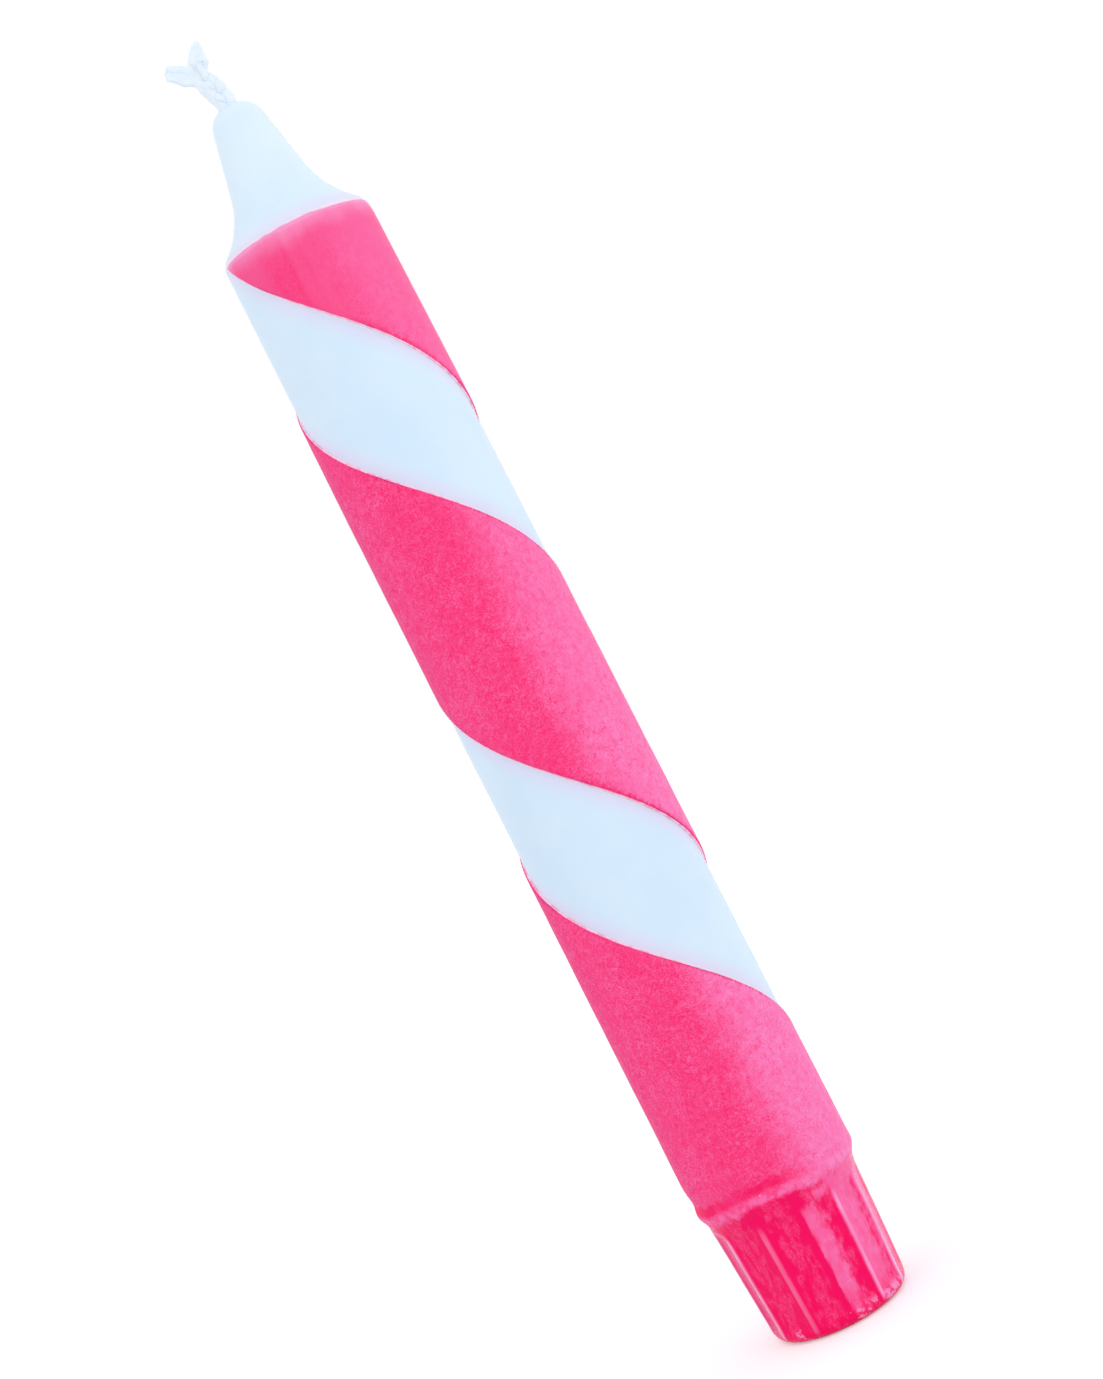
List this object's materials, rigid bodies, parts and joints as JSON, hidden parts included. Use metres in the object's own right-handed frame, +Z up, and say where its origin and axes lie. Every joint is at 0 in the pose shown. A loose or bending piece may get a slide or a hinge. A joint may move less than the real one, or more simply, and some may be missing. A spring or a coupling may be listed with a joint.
{
  "type": "striped taper candle",
  "caption": "Straight crown taper candle in white wax with a pink dip coat, a bare spiral stripe, a fluted self-seating foot and a frayed plaited wick.",
  "frame": {"origin": "middle of the flat base that the candle stands on", "axes": "+Z up the candle's axis towards the wick, -Y towards the front that the picture shows, +X to that front's right"},
  "size_m": [0.023, 0.023, 0.1889],
  "materials": {
    "white_wax": "smooth satin white wax with a pale cool cast",
    "pink_wax": "satin to glossy pink wax with a fine mottled grain",
    "wick_cotton": "plaited cotton soaked in white wax, frayed at its end"
  },
  "bodies": {
    "root": {"wax_body": "white_wax", "dip_coat": "pink_wax", "wick_strand_1": "wick_cotton", "wick_strand_2": "wick_cotton", "wick_strand_3": "wick_cotton"}
  },
  "joints": []
}
